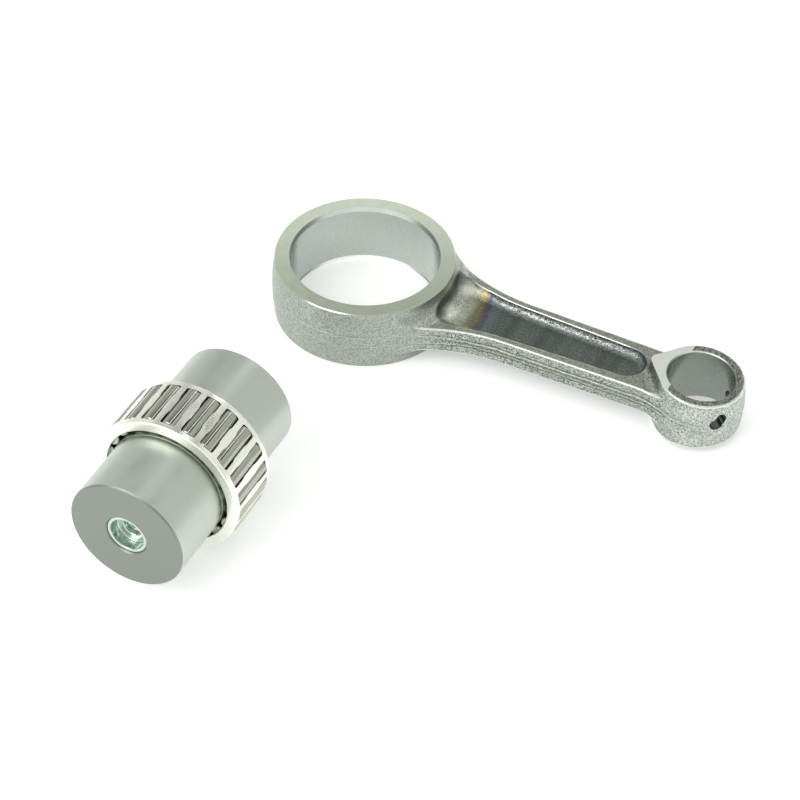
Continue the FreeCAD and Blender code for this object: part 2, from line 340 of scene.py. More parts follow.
def plan(x, y):
    """The flat distances that the forging is made of, by name."""
    turn = soft_step(y, -BOWL_TURN, BOWL_TURN)
    y = np.abs(y)
    hub = np.hypot(x, y) - HUB_R
    eye = np.hypot(x - CENTRES, y) - EYE_R
    side = side_distance(x, y, FLARE_BIG, FLARE_BIG_R, FLARE_SMALL, FLARE_SMALL_R)
    ends = np.maximum(-beyond(x, y, np.zeros(2), FLARE_BIG), beyond(x, y, EYE, FLARE_SMALL))
    pocket_end = np.array([POCKET_END_X, 0.0])
    rib = side_distance(x, y, FLARE_BIG, FLARE_BIG_R + RIB_BIG, pocket_end, -POCKET_END_R)
    wall = np.maximum(POCKET_WALL_R - np.hypot(x, y), POCKET_START_X - x)
    above = POCKET_FULL_CORNER + (POCKET_CORNER - POCKET_FULL_CORNER) * turn
    below = POCKET_CORNER + (POCKET_FULL_CORNER - POCKET_CORNER) * turn
    return {
        "x": x,
        "hub": hub,
        "outline": np.minimum(np.minimum(hub, eye), np.maximum(side, ends)),
        "boss": boss_distance(x, y),
        "eye": eye,
        "pocket_above": smooth_max(wall, rib, CORNER_BLEND * above),
        "pocket_below": smooth_max(wall, rib, CORNER_BLEND * below),
        "bowl": 1 - soft_step(x, *BOWL_END_X),
    }


def flash(flat, up):
    """The trimmed flash: its height, the ridges along its edges and the grooves beside them."""
    x = flat["x"]
    at_hub = 1 - soft_step(flat["hub"], *FLASH_AT_HUB)
    wander = 0.09 * np.sin(0.42 * x + 1.2 * np.sin(0.13 * x)) + 0.05 * np.sin(1.3 * x)
    half = BAND_HALF + (BAND_HUB - BAND_HALF) * at_hub + wander
    fade = soft_step(x, *FLASH_START_X) * (1 - 0.5 * soft_step(x, *FLASH_END_X))
    band = BAND_PROUD * (1 - soft_step(up, half - 0.2, half + 0.12))
    seam = np.exp(-((up - half) / SEAM_WIDTH) ** 2)
    groove = np.exp(-((up - half - GROOVE_OUT) / 0.26) ** 2) + 0.8 * np.exp(-(up / 0.4) ** 2)
    hollow = fade * groove * (1 - at_hub) * (1 - 0.65 * soft_step(x, *GROOVE_END_X))
    return fade * (band + SEAM_PROUD * seam), fade * seam, hollow


def pocket_distance(flat, rise):
    """Distance to the pocket: drafted walls and a rounded floor edge, widest in the bowl."""
    up = np.abs(rise)
    floor = RIB_TOP - POCKET_DEPTH - up
    plan_wall = np.where(rise > 0, flat["pocket_above"], flat["pocket_below"])
    wall = plan_wall + np.maximum(RIB_TOP - up, 0.0) * POCKET_DRAFT
    edge = POCKET_FLOOR_R + (BOWL_FLOOR_R - POCKET_FLOOR_R) * flat["bowl"]
    return round_cut(wall, floor, edge)


def unevenness(x, y, z):
    """Slow waves of a forged surface, from 0 to 1."""
    a = np.sin(0.61 * x + 1.7 * np.sin(0.23 * y) + 0.4 * z)
    b = np.sin(0.83 * y - 0.37 * x + 1.1 * np.sin(0.31 * z + 0.19 * x))
    c = np.sin(1.37 * x + 0.9 * y + 0.6 * z)
    return 0.5 + 0.2 * a + 0.2 * b + 0.1 * c


def forging(flat, y, z):
    """Distance to the whole forging, before machining."""
    x = flat["x"]
    up = np.abs(z - MID)
    proud, _, groove = flash(flat, up)
    draft = np.where(up > RIB_TOP, DRAFT, SIDE_DRAFT)
    grow = (RIB_TOP - up) * draft + proud - GROOVE_DEPTH * groove
    hub = np.maximum(flat["hub"] - grow, up - MID - STOCK)
    cone = flat["boss"] - (FLAT_TOP - RIB_TOP) * DRAFT - grow
    crown = up - CROWN_TOP + CROWN_FALL * (x - CENTRES)
    boss = np.maximum(smooth_max(cone, crown, EYE_ROUND), up - FLAT_TOP - STOCK)
    level = up - RIB_TOP
    top = np.minimum(round_join(level, hub, FILLET_BIG), round_join(level, boss, FILLET_SMALL))
    shank = smooth_max(flat["outline"] - grow, top, EDGE_ROUND)
    solid = np.minimum(np.minimum(hub, boss), shank)
    soft = RIM_ROUND + BOWL_ROUND * soft_step(up, RIB_TOP + 0.5, RIB_TOP + 3.5)
    solid = smooth_max(solid, -pocket_distance(flat, z - MID), soft)
    return solid + UNEVEN * unevenness(x, y, z)


def surface_nets(values, low, cell):
    """Points and quads of the zero surface of a grid of distances."""
    inside = values < 0
    corner_steps = list(itertools.product((0, 1), repeat=3))
    shape = [n - 1 for n in values.shape]
    count = np.zeros(shape, np.int8)
    for i, j, k in corner_steps:
        count += inside[i:i + shape[0], j:j + shape[1], k:k + shape[2]]
    cells = np.argwhere((count > 0) & (count < 8))
    index = np.full(shape, -1, np.int64)
    index[tuple(cells.T)] = np.arange(len(cells))
    total = np.zeros((len(cells), 3))
    hits = np.zeros(len(cells))
    for start in corner_steps:
        for axis in range(3):
            if start[axis]:
                continue
            end = np.array(start)
            end[axis] = 1
            a = values[tuple((cells + start).T)]
            b = values[tuple((cells + end).T)]
            crosses = (a < 0) != (b < 0)
            place = np.tile(np.array(start, float), (len(cells), 1))
            place[:, axis] = a / np.where(crosses, a - b, 1.0)
            total[crosses] += place[crosses]
            hits += crosses
    points = low + (cells + total / hits[:, None]) * cell
    quads = []
    for axis in range(3):
        one, two = [(axis + 1) % 3, (axis + 2) % 3]
        a = np.moveaxis(inside, [axis, one, two], [0, 1, 2])
        ids = np.moveaxis(index, [axis, one, two], [0, 1, 2])
        edges = np.argwhere(a[:-1, 1:-1, 1:-1] != a[1:, 1:-1, 1:-1])
        n, p, q = edges.T
        quad = np.stack([ids[n, p, q], ids[n, p + 1, q], ids[n, p + 1, q + 1], ids[n, p, q + 1]], 1)
        leaving = a[n, p + 1, q + 1]
        quad[~leaving] = quad[~leaving][:, ::-1]
        quads.append(quad)
    return points, np.concatenate(quads)


def forging_at(points):
    """Distance to the forging at single points."""
    return forging(plan(points[:, 0], points[:, 1]), points[:, 1], points[:, 2])


def edge_wear_and_highlight(points, gain):
    """1 where the forging's surface turns sharply outwards, 0 where it is flat or hollow."""
    reach = 0.25
    around = np.zeros(len(points))
    for axis in range(3):
        step = np.zeros(3)
        step[axis] = reach
        around += forging_at(points + step) + forging_at(points - step)
    bend = (around - 6 * forging_at(points)) / reach ** 2
    return soft_step(bend * gain, 0.7, 1.8)


def settle(points, cell):
    """Move points onto the true surface along the slope of the distance."""
    for _ in range(3):
        value = forging_at(points)
        slope = np.empty_like(points)
        for axis in range(3):
            step = np.zeros(3)
            step[axis] = 0.02
            slope[:, axis] = (forging_at(points + step) - forging_at(points - step)) / 0.04
        move = slope * (value / np.maximum((slope ** 2).sum(1), 0.25))[:, None]
        points = points - np.clip(move, -0.4 * cell, 0.4 * cell)
    return points


def forged_blank():
    """The forging as a mesh, with stock left on the big-end faces and no bores."""
    low = np.array([rod_low[0] - 1, rod_low[1] - 1, -1.0])
    high = np.array([rod_high[0] + 1, rod_high[1] + 1, rod_high[2] + 1.0])
    axes = [np.arange(a, b + step, step) for a, b, step in zip(low, high, ROD_CELL)]
    flat = plan(axes[0][:, None, None], axes[1][None, :, None])
    values = forging(flat, axes[1][None, :, None], axes[2][None, None, :])
    points, quads = surface_nets(values, low, ROD_CELL)
    return new_object("rod_forging", settle(points, ROD_CELL), quads.tolist())


# ---------------------------------------------------------------- machining the rod
UP = np.array([0.0, 0.0, 1.0])
ALONG = np.array([0.0, 1.0, 0.0])
ROD_MIDDLE = np.array([0.0, 0.0, MID])
EYE_MIDDLE = np.array([CENTRES, 0.0, MID])
SMALL_REACH = CENTRES - NOSE_X + NOSE_R + 2


def mirrored(profile):
    """A profile of positive heights, completed with its reflection."""
    return profile + [(r, -h) for r, h in reversed(profile)]


def big_end_tool():
    """Faces both sides of the big end, breaks its edges and bores it, with a long lead-in."""
    past = MID + 2
    rim = BIG_FACE_R - FACE_EDGE
    upper = [
        (0, past),
        (rim + 1, past),
        (rim + 1, MID - 1),
        (rim, MID),
        (BIG_BORE_R + LEAD_RISE, MID),
        (BIG_BORE_R, MID - LEAD_DEPTH),
    ]
    return lathe("big_end_tool", mirrored(upper), ROD_MIDDLE, UP, 256)


def small_end_tool():
    """Grinds the small-end flats and bores it, with a chamfer at each flat."""
    upper = [
        (0, FLAT_TOP + 2),
        (SMALL_REACH, FLAT_TOP + 2),
        (SMALL_REACH, FLAT_TOP),
        (SMALL_BORE_R + SMALL_CHAMFER, FLAT_TOP),
        (SMALL_BORE_R, FLAT_TOP - SMALL_CHAMFER),
    ]
    return lathe("small_end_tool", mirrored(upper), EYE_MIDDLE, UP, 160)


def crown_tool(side):
    """Breaks the bore edge of the small end on a forged face, which falls away to the tip."""
    axis = np.array([CROWN_FALL, 0, side])
    axis /= np.linalg.norm(axis)
    centre = EYE_MIDDLE + [0, 0, side * CROWN_TOP]
    tip_r = SMALL_BORE_R - 1
    depth = SMALL_CHAMFER + 1
    cone = [(0, -depth), (tip_r, -depth), (tip_r + depth + 1, 1), (0, 1)]
    return lathe("crown_tool", cone, centre, axis, 160)


def oil_tools():
    """The oil drillings."""
    start = SMALL_BORE_R - 3
    end = SMALL_FACE_R + 4
    drill = [(0, start), (OIL_R, start), (OIL_R, end), (0, end)]
    tools = []
    for angle, rise in OIL_HOLES:
        a = math.radians(angle)
        out = np.array([math.cos(a), math.sin(a), 0])
        tools.append(lathe("oil_tool", drill, EYE_MIDDLE + [0, 0, rise], out, 48))
    return tools


def connecting_rod():
    """The forging with its faces ground and its holes bored."""
    tools = [big_end_tool(), small_end_tool(), crown_tool(1), crown_tool(-1)] + oil_tools()
    return cut(forged_blank(), tools, 40.0)


# ---------------------------------------------------------------- crank pin set
# Pin and plugs, millimetres, the same as in the CAD part, but for a gap that keeps their meshes apart
PLUG_GAP = 0.02
PIN_CHAMFER = 0.5
PLUG_LEAD = 0.4
PLUG_SEAT = 9.0
CUP_R = 5.1
CUP_DEPTH = 3.4
RECESS_R = 2.9
RECESS_DEPTH = 5.2
DRILL_POINT = 0.5
GALLERY_R = 4.0
FEED_R = 1.5
DRILL_START_R = PIN_R - 14
INLET_OFFSET = 16.0
RACE_END = 8.8
SEAT_START = 9.45
RELIEF_DEPTH = 0.25


def crank_pin():
    """The ground pin, with its gallery, oil holes and softened edges."""
    seat = PIN_HALF - PLUG_SEAT
    half = [
        (GALLERY_R, seat, 0),
        (PLUG_R + PLUG_GAP, seat, 0),
        (PLUG_R + PLUG_GAP, PIN_HALF - PLUG_LEAD, 0.1),
        (PLUG_R + PLUG_LEAD, PIN_HALF, 0.12),
        (PIN_R - PIN_CHAMFER, PIN_HALF, 0.35),
        (PIN_R, PIN_HALF - PIN_CHAMFER, 0.35),
        (PIN_R, SEAT_START, 0),
        (PIN_R - RELIEF_DEPTH, SEAT_START, 0),
        (PIN_R - RELIEF_DEPTH, RACE_END, 0),
        (PIN_R, RACE_END, 0),
    ]
    corners = half + [(r, -y, size) for r, y, size in reversed(half)]
    pin = lathe("pin_body", rounded(corners), PIN_CENTRE, ALONG, 192)
    drill = [(0, DRILL_START_R), (FEED_R, DRILL_START_R), (FEED_R, PIN_R + 1), (0, PIN_R + 1)]
    feed = lathe("feed_tool", drill, PIN_CENTRE, (1, 0, 0), 48)
    inlet = lathe("inlet_tool", drill, PIN_CENTRE + INLET_OFFSET * ALONG, (-1, 0, 0), 48)
    return cut(pin, [feed, inlet])


def pin_plug(name, side):
    """A pressed cup with a recess; side is -1 at the near end and 1 at the far end."""
    back = PLUG_FACE - PLUG_LENGTH
    cup_floor = PLUG_FACE - CUP_DEPTH
    recess_floor = PLUG_FACE - RECESS_DEPTH
    corners = [
        (0, back, 0),
        (PLUG_R, back, 0.3),
        (PLUG_R, PLUG_FACE, 0.3),
        (CUP_R, PLUG_FACE, 0.3),
        (CUP_R, cup_floor, 0.5),
        (RECESS_R, cup_floor, 0.35),
        (RECESS_R, recess_floor, 0.2),
        (0, recess_floor - DRILL_POINT, 0),
    ]
    profile = [(r, side * y) for r, y in rounded(corners)]
    return lathe(name, profile, PIN_CENTRE, ALONG, 96)


def spoke(index):
    """Directions out from the pin axis and around it at a roller position."""
    a = 2 * math.pi * index / len(ROLLER_NODES)
    out = np.array([math.sin(a), 0, math.cos(a)])
    around = np.array([math.cos(a), 0, -math.sin(a)])
    return out, around


def roller(name, index):
    """A needle roller with crowned ends."""
    out, _ = spoke(index)
    corners = [
        (0, -ROLLER_HALF, 0),
        (ROLLER_R, -ROLLER_HALF, ROLLER_EDGE),
        (ROLLER_R, ROLLER_HALF, ROLLER_EDGE),
        (0, ROLLER_HALF, 0),
    ]
    return lathe(name, rounded(corners), PIN_CENTRE + PITCH_R * out, ALONG, 64)


# Cage, millimetres, as in the CAD part, but with a slope where the mouth of each window narrows
CAGE_IN_R = 19.0
WINDOW_R = 2.56
WINDOW_HALF = 7.65
MOUTH_WIDE = 2.25
MOUTH_NARROW = 1.95
LIP_HALF = 2.3
LIP_SLOPE = 1.6


def window_outline():
    """The mouth of a cage window, narrow mid-way, with rounded corners."""
    quarter = [
        (MOUTH_NARROW, LIP_HALF, 0.6),
        (MOUTH_WIDE, LIP_HALF + LIP_SLOPE, 0.6),
        (MOUTH_WIDE, WINDOW_HALF, 0.6),
    ]
    corners = [(u, -v, r) for u, v, r in quarter[::-1]] + quarter
    corners += [(-u, v, r) for u, v, r in quarter[::-1]] + [(-u, -v, r) for u, v, r in quarter]
    return rounded(corners)


def bearing_cage():
    """The plated cage: a ring with a window for each roller."""
    corners = [
        (CAGE_IN_R, -CAGE_HALF, 0.35),
        (CAGE_R, -CAGE_HALF, 0.5),
        (CAGE_R, CAGE_HALF, 0.5),
        (CAGE_IN_R, CAGE_HALF, 0.35),
    ]
    ring = lathe("cage_ring", rounded(corners), PIN_CENTRE, ALONG, 264)
    outline = window_outline()
    mouths = []
    beds = []
    bed = [(0, -WINDOW_HALF), (WINDOW_R, -WINDOW_HALF), (WINDOW_R, WINDOW_HALF), (0, WINDOW_HALF)]
    for i in range(len(ROLLER_NODES)):
        out, around = spoke(i)
        mouths.append(prism("mouth", outline, ALONG, around, out, CAGE_IN_R - 2, CAGE_R + 2, PIN_CENTRE))
        beds.append(lathe("bed", bed, PIN_CENTRE + PITCH_R * out, ALONG, 48))
    return cut(ring, [joined("mouths", mouths), joined("beds", beds)])


# ---------------------------------------------------------------- materials
class Nodes:
    """A node tree being built, with short calls for its nodes."""

    def __init__(self, tree):
        self.tree = tree

    def node(self, kind, **settings):
        """A new node with the given settings."""
        made = self.tree.nodes.new(kind)
        for name, value in settings.items():
            setattr(made, name, value)
        return made

    def feed(self, socket, value):
        """Connect a socket to another, or give it a fixed value."""
        if isinstance(value, bpy.types.NodeSocket):
            self.tree.links.new(value, socket)
        elif isinstance(value, tuple) and len(value) == 3 and socket.type == "RGBA":
            socket.default_value = value + (1.0,)
        else:
            socket.default_value = value

    def scaled(self, vector, factors):
        """A vector or colour times a factor or factors."""
        made = self.node("ShaderNodeVectorMath", operation="MULTIPLY")
        self.feed(made.inputs[0], vector)
        self.feed(made.inputs[1], factors)
        return made.outputs[0]

    def moved(self, vector, offset):
        """A place measured from another one."""
        made = self.node("ShaderNodeVectorMath", operation="SUBTRACT")
        self.feed(made.inputs[0], vector)
        self.feed(made.inputs[1], tuple(offset))
        return made.outputs[0]

    def parts(self, vector):
        """The x, y and z of a vector."""
        made = self.node("ShaderNodeSeparateXYZ")
        self.feed(made.inputs[0], vector)
        return made.outputs

    def math(self, operation, *values):
        """The result of one arithmetic step."""
        made = self.node("ShaderNodeMath", operation=operation)
        for socket, value in zip(made.inputs, values):
            self.feed(socket, value)
        return made.outputs[0]

    def sum_of(self, a, by_a, b, by_b):
        """Two values, each times its own factor, added up."""
        return self.math("ADD", self.math("MULTIPLY", a, by_a), self.math("MULTIPLY", b, by_b))

    def between(self, value, low, high, bottom=0.0, top=1.0):
        """Bottom below low, top above high, smooth between."""
        made = self.node("ShaderNodeMapRange", interpolation_type="SMOOTHSTEP")
        names = ("Value", "From Min", "From Max", "To Min", "To Max")
        for name, number in zip(names, (value, low, high, bottom, top)):
            self.feed(made.inputs[name], number)
        return made.outputs[0]


class Look(Nodes):
    """A metal being built; lengths are in millimetres."""

    def __init__(self, name, metallic=1.0):
        self.material = bpy.data.materials.new(name)
        self.material.use_nodes = True
        super().__init__(self.material.node_tree)
        self.shader = self.tree.nodes["Principled BSDF"]
        self.shader.inputs["Metallic"].default_value = metallic
        place = self.node("ShaderNodeTexCoord").outputs["Object"]
        self.place = self.scaled(place, (1000, 1000, 1000))

    def noise(self, size, detail=2.0, rough=0.5, place=None):
        """Smooth noise around 0.5 with features of about the given size."""
        made = self.node("ShaderNodeTexNoise")
        self.feed(made.inputs["Vector"], place or self.place)
        self.feed(made.inputs["Scale"], 1.0 / size)
        self.feed(made.inputs["Detail"], detail)
        self.feed(made.inputs["Roughness"], rough)
        return made.outputs[0]

    def ramp(self, value, *stops):
        """Colours along a value from 0 to 1."""
        made = self.node("ShaderNodeValToRGB")
        self.feed(made.inputs[0], value)
        elements = made.color_ramp.elements
        elements[0].position, elements[0].color = stops[0][0], stops[0][1] + (1.0,)
        elements[1].position, elements[1].color = stops[-1][0], stops[-1][1] + (1.0,)
        for position, colour in stops[1:-1]:
            elements.new(position).color = colour + (1.0,)
        return made.outputs[0]

    def mix(self, factor, a, b):
        """Colour a where the factor is 0, colour b where it is 1."""
        made = self.node("ShaderNodeMix", data_type="RGBA")
        colours = [socket for socket in made.inputs if socket.type == "RGBA"]
        self.feed(made.inputs[0], factor)
        self.feed(colours[0], a)
        self.feed(colours[1], b)
        return next(socket for socket in made.outputs if socket.type == "RGBA")

    def attribute(self, name):
        """A number stored at the points of the mesh."""
        return self.node("ShaderNodeAttribute", attribute_name=name).outputs["Fac"]

    def marked(self, colour, name, share, mark):
        """A colour with a share of another one where the named attribute is 1."""
        return self.mix(self.math("MULTIPLY", self.attribute(name), share), colour, mark)

    def cloudy(self, cloud, roughness):
        """A roughness that wanders a little with a noise."""
        return self.between(cloud, 0.3, 0.7, roughness - 0.04, roughness + 0.04)

    def soft_edges(self, radius):
        """A normal that rounds sharp edges by a radius in millimetres."""
        made = self.node("ShaderNodeBevel", samples=6)
        self.feed(made.inputs["Radius"], radius * MM)
        return made.outputs[0]

    def bump(self, height, depth, normal=None):
        """Raise the surface by a height from 0 to 1, times a depth in millimetres."""
        made = self.node("ShaderNodeBump")
        self.feed(made.inputs["Height"], height)
        self.feed(made.inputs["Distance"], depth * MM)
        if normal:
            self.feed(made.inputs["Normal"], normal)
        return made.outputs[0]

    def finish(self, colour, roughness, normal=None):
        """The material, with its colour, roughness and surface connected."""
        self.feed(self.shader.inputs["Base Color"], colour)
        self.feed(self.shader.inputs["Roughness"], roughness)
        if normal:
            self.feed(self.shader.inputs["Normal"], normal)
        return self.material


def bare_steel(look, speckle):
    """Colours of the shot-blasted surface: calm on the hub, pale at the eye, darker on top."""
    calm = look.attribute("calm")
    pale = look.attribute("pale")
    dark = look.mix(calm, (0.07, 0.075, 0.065), (0.25, 0.268, 0.24))
    dark = look.mix(pale, dark, (0.20, 0.215, 0.20))
    light = look.mix(calm, (0.62, 0.66, 0.60), (0.51, 0.545, 0.50))
    light = look.mix(pale, light, (0.74, 0.775, 0.73))
    steel = look.mix(speckle, dark, light)
    cloud = look.between(look.noise(7.0, 3.0), 0.35, 0.65, 0.0, 0.25)
    steel = look.mix(cloud, steel, (0.30, 0.32, 0.285))
    top_dark = look.mix(calm, (0.20, 0.215, 0.17), (0.30, 0.32, 0.27))
    top_light = look.mix(calm, (0.46, 0.485, 0.41), (0.60, 0.63, 0.56))
    steel = look.mix(look.attribute("top"), steel, look.mix(speckle, top_dark, top_light))
    crown = look.mix(speckle, (0.04, 0.044, 0.038), (0.38, 0.405, 0.36))
    return look.mix(look.attribute("crown"), steel, crown)


def pocket_steel(look, speckle):
    """Colours of the pocket along the rod: a pale bowl, a gold and blue band, then dark oxide, with painted
    highlights on the upper bowl and painted shade along the bowl's walls.
    """
    x, y, _ = look.parts(look.place)
    along = look.sum_of(x, 1.0, y, 0.13)
    along = look.sum_of(along, 1.0, look.noise(6.0, 2.0), 2.4)
    heat = look.ramp(
        look.math("DIVIDE", along, 100.0),
        (0.285, (0.18, 0.19, 0.17)),
        (0.31, (0.36, 0.38, 0.33)),
        (0.35, (0.42, 0.44, 0.35)),
        (0.378, (0.38, 0.38, 0.25)),
        (0.392, (0.40, 0.34, 0.16)),
        (0.402, (0.25, 0.19, 0.12)),
        (0.412, (0.13, 0.13, 0.18)),
        (0.430, (0.16, 0.19, 0.20)),
        (0.460, (0.150, 0.170, 0.155)),
        (0.60, (0.155, 0.172, 0.160)),
    )
    heat = look.mix(speckle, look.scaled(heat, (0.6, 0.6, 0.6)), look.scaled(heat, (1.5, 1.5, 1.5)))
    # Painted highlight: a pale colour at two places on the upper bowl
    heat = look.marked(heat, "painted_highlight", 0.7, (0.80, 0.82, 0.75))
    # Painted shade: a dark band inside the bowl along its walls
    heat = look.marked(heat, "painted_wall_shade", 0.6, (0.05, 0.054, 0.045))
    wall = look.mix(speckle, (0.03, 0.033, 0.03), (0.44, 0.465, 0.44))
    return look.mix(look.attribute("wall"), heat, wall)


def forged_look():
    """Shot-blasted forging, with heat colours across the shank pocket, edges rubbed bright under a painted
    highlight, and painted highlights and painted shade in the pocket and along the flash seams.
    """
    look = Look("forged_steel")
    rough = look.sum_of(look.noise(0.32, 1.0, 0.6), 0.6, look.noise(0.62, 2.0, 0.6), 0.4)
    speckle = look.between(rough, 0.38, 0.62)
    colour = look.mix(look.attribute("pocket"), bare_steel(look, speckle), pocket_steel(look, speckle))
    # Painted shade in the grooves beside the flash seams, and painted highlight on the seam ridges
    colour = look.marked(colour, "groove", 0.75, (0.07, 0.075, 0.065))
    colour = look.marked(colour, "seam", 0.6, (0.62, 0.65, 0.60))
    # Bright edges: partly rubbed bare metal, partly a painted highlight along every sharp outward edge
    colour = look.marked(colour, "wear_and_highlight", 0.85, (0.86, 0.89, 0.84))
    depth = look.math("SUBTRACT", 1.0, look.math("MULTIPLY", look.attribute("pocket"), 0.4))
    normal = look.bump(look.math("MULTIPLY", rough, depth), 0.12)
    roughness = look.between(look.noise(1.2, 2.0), 0.3, 0.7, 0.30, 0.46)
    polish = look.math("SUBTRACT", 1.0, look.math("MULTIPLY", look.attribute("wear_and_highlight"), 0.5))
    return look.finish(colour, look.math("MULTIPLY", roughness, polish), normal)


def turned_look(name, light, dark, depth, roughness):
    """A turned face with fine rings around the Z axis, with painted light: brighter towards the back and
    left, darker towards the front and right.
    """
    look = Look(name)
    x, y, _ = look.parts(look.place)
    rings = look.node("ShaderNodeTexNoise", noise_dimensions="1D")
    look.feed(rings.inputs["W"], look.math("SQRT", look.sum_of(x, x, y, y)))
    look.feed(rings.inputs["Scale"], 9.0)
    look.feed(rings.inputs["Detail"], 3.0)
    cloud = look.noise(3.5, 3.0)
    colour = look.mix(look.sum_of(rings.outputs[0], 0.5, cloud, 0.5), dark, light)
    # Painted light: the colour is scaled from painted shade at one side to a painted highlight at the other
    side = look.sum_of(y, 0.75, x, -0.5)
    colour = look.scaled(colour, look.between(side, -26, 26, 0.74, 1.2))
    return look.finish(colour, look.cloudy(cloud, roughness), look.bump(rings.outputs[0], depth))


def satin(look, grain, stretch, light, dark):
    """A fine grain over a slow cloud: both noises, and their colour."""
    fine = look.noise(grain, 3.0, 0.5, look.scaled(look.place, stretch))
    cloud = look.noise(6.0, 2.0)
    return fine, cloud, look.mix(look.sum_of(fine, 0.4, cloud, 0.6), dark, light)


def bore_look(name, axis, light, dark, roughness, sides, painted_side_shade):
    """A bore about a vertical axis, with painted shade on two opposite sides between two distances across
    it.
    """
    look = Look(name)
    fine, cloud, colour = satin(look, 0.3, (1, 1, 0.15), light, dark)
    x, y, _ = look.parts(look.moved(look.place, axis))
    across = look.math("ABSOLUTE", look.sum_of(x, 0.90, y, 0.43))
    # Painted shade: darker on two opposite sides of the bore
    colour = look.scaled(colour, look.between(across, *sides, 1.0, painted_side_shade))
    return look.finish(colour, look.cloudy(cloud, roughness), look.bump(fine, 0.0006))


def plain_look(name, light, dark, roughness, grain=0.25, depth=0.003, stretch=(1, 1, 1), edge=0):
    """A fine satin metal, with its grain stretched along an axis and its edges softened if wanted."""
    look = Look(name)
    fine, cloud, colour = satin(look, grain, stretch, light, dark)
    normal = look.bump(fine, depth, look.soft_edges(edge) if edge else None)
    return look.finish(colour, look.cloudy(cloud, roughness), normal)


# ---------------------------------------------------------------- the rod's surfaces
def store(mesh, name, values):
    """Keep a number at each point of a mesh."""
    mesh.attributes.new(name, "FLOAT", "POINT").data.foreach_set("value", values.astype(np.float32))


def crisp(mesh):
    """Shade the edges between two finishes as sharp."""
    loop_edge = np.empty(len(mesh.loops), np.int32)
    mesh.loops.foreach_get("edge_index", loop_edge)
    sizes = np.empty(len(mesh.polygons), np.int32)
    mesh.polygons.foreach_get("loop_total", sizes)
    finish = np.empty(len(mesh.polygons), np.int32)
    mesh.polygons.foreach_get("material_index", finish)
    loop_finish = np.repeat(finish, sizes)
    lowest = np.full(len(mesh.edges), 99)
    highest = np.full(len(mesh.edges), -1)
    np.minimum.at(lowest, loop_edge, loop_finish)
    np.maximum.at(highest, loop_edge, loop_finish)
    sharp = np.empty(len(mesh.edges), bool)
    mesh.edges.foreach_get("use_edge_sharp", sharp)
    mesh.edges.foreach_set("use_edge_sharp", sharp | (lowest < highest))


def read_points(mesh):
    """Vertex positions and face centres of a mesh, in millimetres."""
    points = np.empty(len(mesh.vertices) * 3)
    mesh.vertices.foreach_get("co", points)
    centres = np.empty(len(mesh.polygons) * 3)
    mesh.polygons.foreach_get("center", centres)
    return points.reshape(-1, 3) / MM, centres.reshape(-1, 3) / MM


# Where a mark fades: between two places along the rod, or two distances off the eye or the hub
WALL_START_X = (38.0, 44.0)
WALL_END_X = (80.0, 87.0)
POCKET_END_BRIGHT_EDGE_X = (82.0, 87.0)
PALE_X = (97.0, 114.0)
OFF_EYE = (0.5, 5.0)
OFF_HUB = (0.5, 8.0)
# Painted highlights on the upper bowl: x and y of each, and how far each spreads along and across the rod
PAINTED_HIGHLIGHTS = ((31.0, 8.0), (30.8, -2.5))
HIGHLIGHT_LONG = 2.8
HIGHLIGHT_WIDE = 2.6

# Finishes of the rod's faces, in the order of its material slots; the oil holes take painted shade, the two
# bore mouths a painted highlight
FORGED, FACE, HONED, MOUTH, GROUND, EYE_BORE, DRILLED, EYE_MOUTH = range(8)
NEAR = 0.01


def store_marks(mesh, points):
    """Store where the pockets, rubbed edges, seams and stains of the forging lie, and where its painted
    highlights and painted shade go.
    """
    x, y, rise = points[:, 0], points[:, 1], points[:, 2] - MID
    normals = np.empty(len(points) * 3)
    mesh.vertices.foreach_get("normal", normals)
    level = soft_step(np.abs(normals[2::3]), 0.6, 0.9)
    flat = plan(x, y)
    up = np.abs(rise)
    _, seam, groove = flash(flat, up)
    pocket = pocket_distance(flat, rise)
    floor = RIB_TOP - POCKET_DEPTH
    below_rib = 1 - soft_step(up, RIB_TOP - 0.4, RIB_TOP)
    along = soft_step(x, *WALL_START_X) * (1 - 0.7 * soft_step(x, *WALL_END_X))
    bright_edge_fade = 1 - 0.8 * (pocket < 1.0) * soft_step(x, *POCKET_END_BRIGHT_EDGE_X)
    at_eye = 1 - soft_step(flat["eye"], *OFF_EYE)
    off_band = soft_step(up, BAND_HUB + 1.2, BAND_HUB + 2.0)
    across = y * np.sign(rise)
    highlight_spots = [((x - cx) / HIGHLIGHT_LONG) ** 2 + ((across - cy) / HIGHLIGHT_WIDE) ** 2 for cx, cy in PAINTED_HIGHLIGHTS]
    edge = np.where(rise > 0, flat["pocket_above"], flat["pocket_below"])
    marks = {
        "pocket": 1 - soft_step(pocket, 0.1, 0.4),
        "wall": soft_step(up, floor + 0.25, floor + 0.9) * below_rib * along,
        # Rubbed edges under a painted highlight, stronger at the eye and fading at the end of the pocket
        "wear_and_highlight": edge_wear_and_highlight(points, 1 + 2 * at_eye) * off_band * bright_edge_fade,
        # Painted highlight on the seam ridges, and painted shade in the grooves beside them
        "seam": seam,
        "groove": groove,
        # Painted highlights on the upper bowl
        "painted_highlight": sum(np.exp(-spot) for spot in highlight_spots),
        # Painted shade inside the bowl along its walls
        "painted_wall_shade": soft_step(edge, -1.9, -0.4) * flat["bowl"],
        "calm": 1 - soft_step(flat["hub"], *OFF_HUB),
        "pale": at_eye * soft_step(x, *PALE_X),
        "top": level,
        "crown": level * soft_step(up, RIB_TOP + 2, RIB_TOP + 3),
    }
    for name, values in marks.items():
        store(mesh, name, values)


